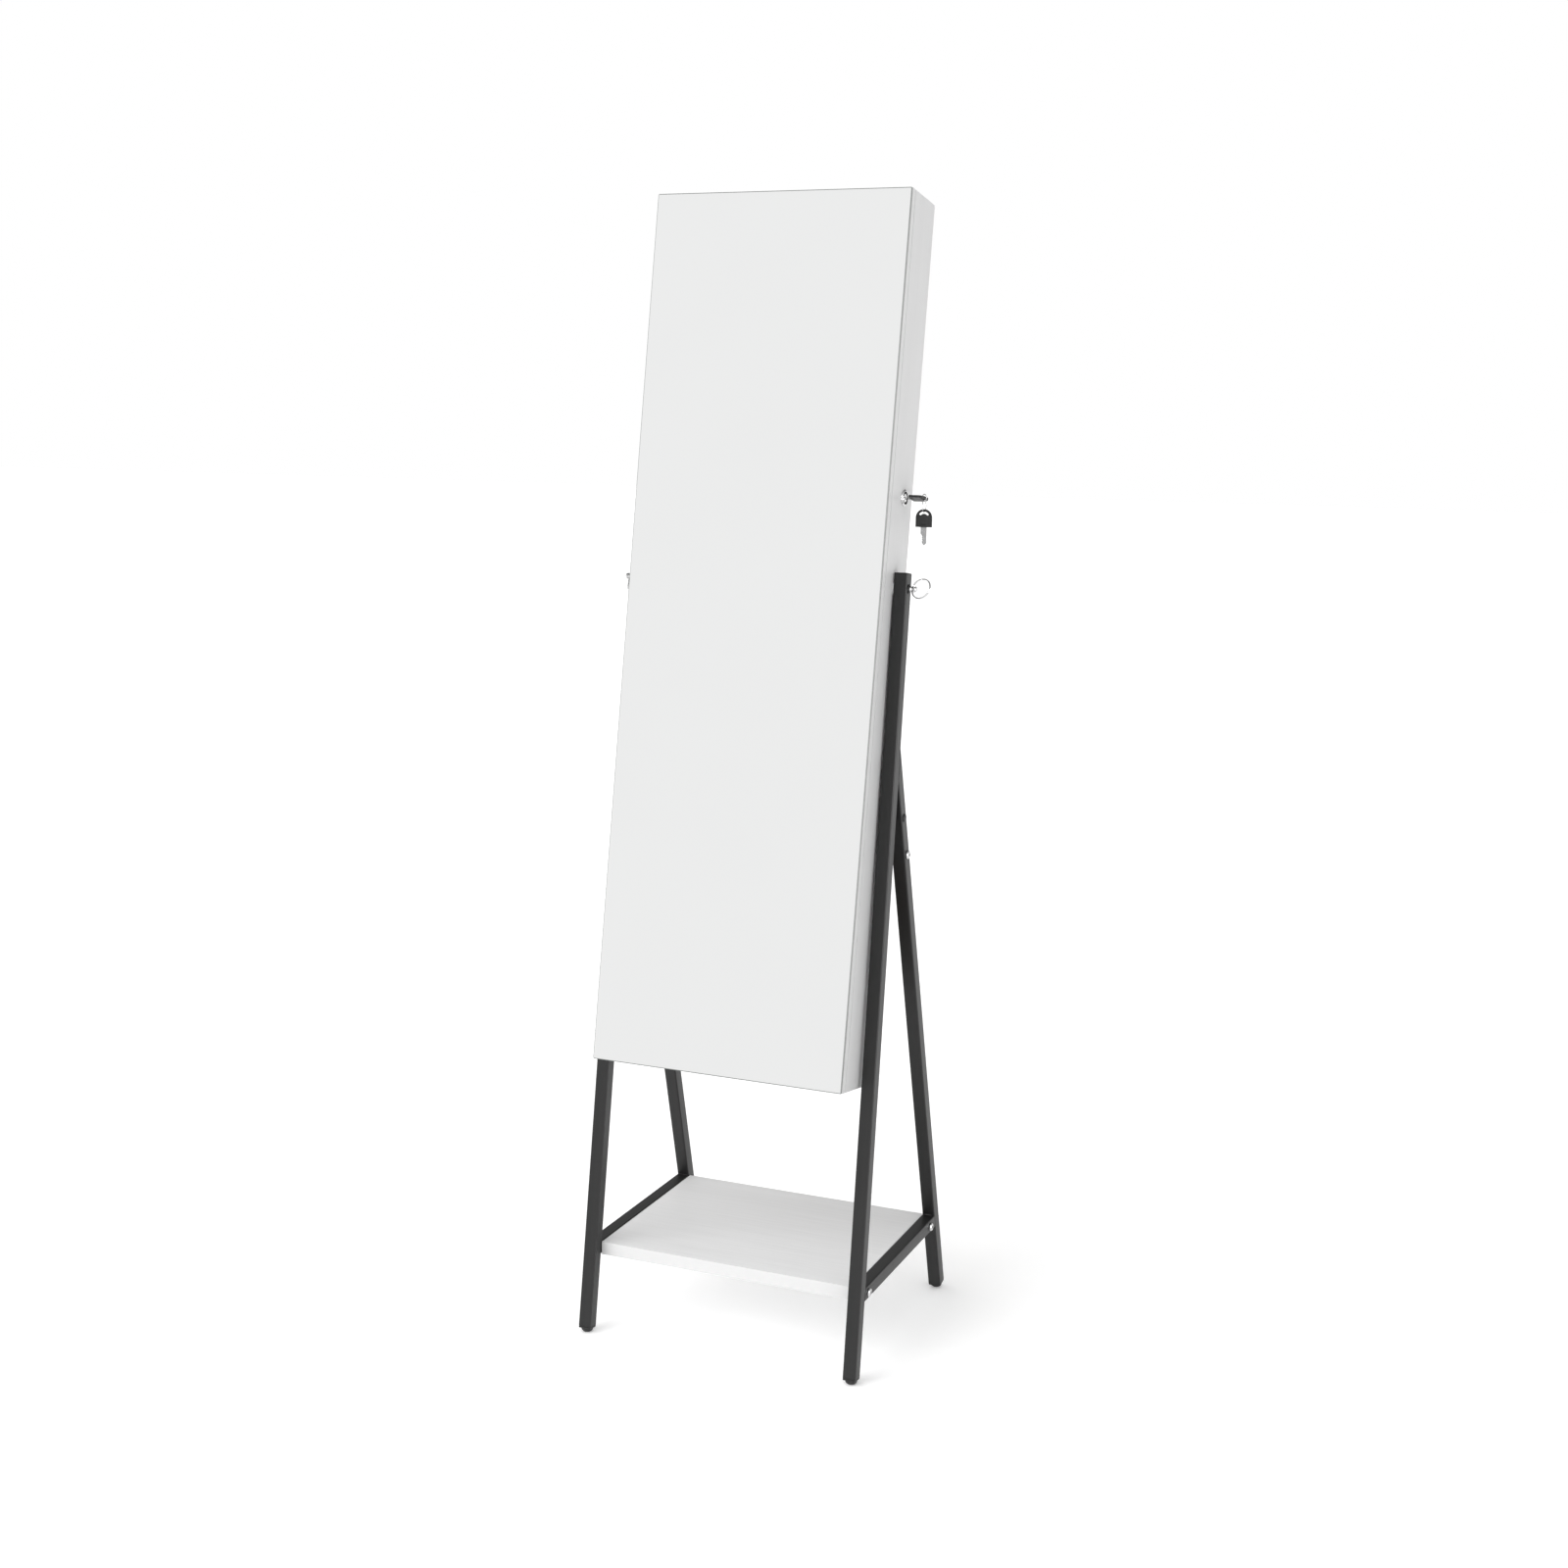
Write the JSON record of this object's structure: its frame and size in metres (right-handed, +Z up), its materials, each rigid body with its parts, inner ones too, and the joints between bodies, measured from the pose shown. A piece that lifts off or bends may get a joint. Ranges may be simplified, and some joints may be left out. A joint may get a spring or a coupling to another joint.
{
  "type": "cheval floor mirror",
  "caption": "Full-length mirror on a lockable shallow cabinet that tilts between the uprights of a square-tube stand with a low shelf.",
  "frame": {"origin": "centre of the overall footprint, on the floor", "axes": "+Z up; the mirror faces -Y and leans back; the lock is on the +X side"},
  "size_m": [0.4614, 0.3842, 1.5961],
  "materials": {
    "black_frame": "satin black powder coat on square steel tube",
    "white_board": "white laminated fibreboard, faint straight grain",
    "mirror": "clear silvered mirror with a ground edge",
    "chrome": "bright polished chrome",
    "bright_steel": "bright zinc-plated steel",
    "black_plastic": "black moulded plastic",
    "white_nylon": "white nylon",
    "hardboard": "brown hardboard",
    "velvet": "grey flocked velvet"
  },
  "bodies": {
    "stand": {"front_leg_left": "black_frame", "rear_leg_left": "black_frame", "side_rail_left": "black_frame", "leg_cap_left": "black_plastic", "shelf_bolt_front_left": "bright_steel", "glide_front_left": "black_plastic", "shelf_bolt_rear_left": "bright_steel", "glide_rear_left": "black_plastic", "crossbar_bolt_left": "bright_steel", "hole_plug_left": "black_plastic", "plunger_guide_left": "black_plastic", "pivot_washer_left": "white_nylon", "front_leg_right": "black_frame", "rear_leg_right": "black_frame", "side_rail_right": "black_frame", "leg_cap_right": "black_plastic", "shelf_bolt_front_right": "bright_steel", "glide_front_right": "black_plastic", "shelf_bolt_rear_right": "bright_steel", "glide_rear_right": "black_plastic", "crossbar_bolt_right": "bright_steel", "hole_plug_right": "black_plastic", "plunger_guide_right": "black_plastic", "pivot_washer_right": "white_nylon", "shelf_board": "white_board", "rear_crossbar": "black_frame"},
    "plunger_pin_left": {"plunger_pin_left": "bright_steel"},
    "pull_ring_left": {"pull_ring_left": "chrome"},
    "plunger_pin_right": {"plunger_pin_right": "bright_steel"},
    "pull_ring_right": {"pull_ring_right": "chrome"},
    "cabinet": {"side_panel_left": "white_board", "side_panel_right": "white_board", "top_panel": "white_board", "bottom_panel": "white_board", "back_panel": "hardboard", "pivot_bush_left": "bright_steel", "pivot_bush_right": "bright_steel", "inner_shelf_lower": "white_board", "inner_shelf_middle": "white_board", "inner_shelf_upper": "white_board", "necklace_rail": "white_board", "ring_cushion": "velvet", "earring_panel": "velvet", "magnet_catch": "white_nylon", "lock_body": "chrome", "hinge_cabinet_leaf_lower": "bright_steel", "hinge_cabinet_leaf_upper": "bright_steel"},
    "door": {"door_panel": "white_board", "mirror_glass": "mirror", "strike_plate": "bright_steel", "hinge_door_leaf_lower": "bright_steel", "hinge_door_leaf_upper": "bright_steel"},
    "lock_plug": {"lock_plug": "chrome", "lock_cam": "bright_steel"},
    "key": {"key_blade": "bright_steel", "key_bow": "black_plastic"},
    "key_link": {"key_link_upper": "chrome"},
    "spare_key": {"key_link_lower": "chrome", "spare_key_bow": "black_plastic", "spare_key_blade": "bright_steel"}
  },
  "joints": [
    {"name": "cabinet_tilt", "type": "hinge", "parent": "stand", "child": "cabinet", "pos_m": [-0.00763, -0.0282, 1.071], "axis": [-1, 0, 0], "range_deg": [-2.3, 12]},
    {"name": "door_swing", "type": "hinge", "parent": "cabinet", "child": "door", "pos_m": [-0.19603, -0.06608, 1.0773], "axis": [0, -0.1642, -0.9864], "range_deg": [0, 105]},
    {"name": "lock_turn", "type": "hinge", "parent": "cabinet", "child": "lock_plug", "pos_m": [0.17787, 0.00133, 1.19057], "axis": [1, 0, 0], "range_deg": [0, 90]},
    {"name": "key_draw", "type": "slide", "parent": "lock_plug", "child": "key", "axis": [1, 0, 0], "range_m": [0, 0.03]},
    {"name": "key_link_swing", "type": "hinge", "parent": "key", "child": "key_link", "pos_m": [0.20817, -0.00445, 1.1926], "axis": [0.6157, 0.788, 0], "range_deg": [-10, 6]},
    {"name": "spare_key_swing", "type": "hinge", "parent": "key_link", "child": "spare_key", "pos_m": [0.20904, -0.00513, 1.1874], "axis": [1, 0, 0], "range_deg": [-25, 12]},
    {"name": "plunger_pull_right", "type": "slide", "parent": "stand", "child": "plunger_pin_right", "axis": [1, 0, 0], "range_m": [0, 0.008], "stiffness_N_per_m": 500, "springref_m": -0.004},
    {"name": "pull_ring_swing_right", "type": "hinge", "parent": "plunger_pin_right", "child": "pull_ring_right", "pos_m": [0.20357, -0.0282, 1.071], "axis": [0, 0.454, 0.891], "range_deg": [-65, 95]},
    {"name": "plunger_pull_left", "type": "slide", "parent": "stand", "child": "plunger_pin_left", "axis": [-1, 0, 0], "range_m": [0, 0.008], "stiffness_N_per_m": 500, "springref_m": -0.004},
    {"name": "pull_ring_swing_left", "type": "hinge", "parent": "plunger_pin_left", "child": "pull_ring_left", "pos_m": [-0.21883, -0.0282, 1.071], "axis": [0, 0.454, 0.891], "range_deg": [-14, 146]}
  ]
}
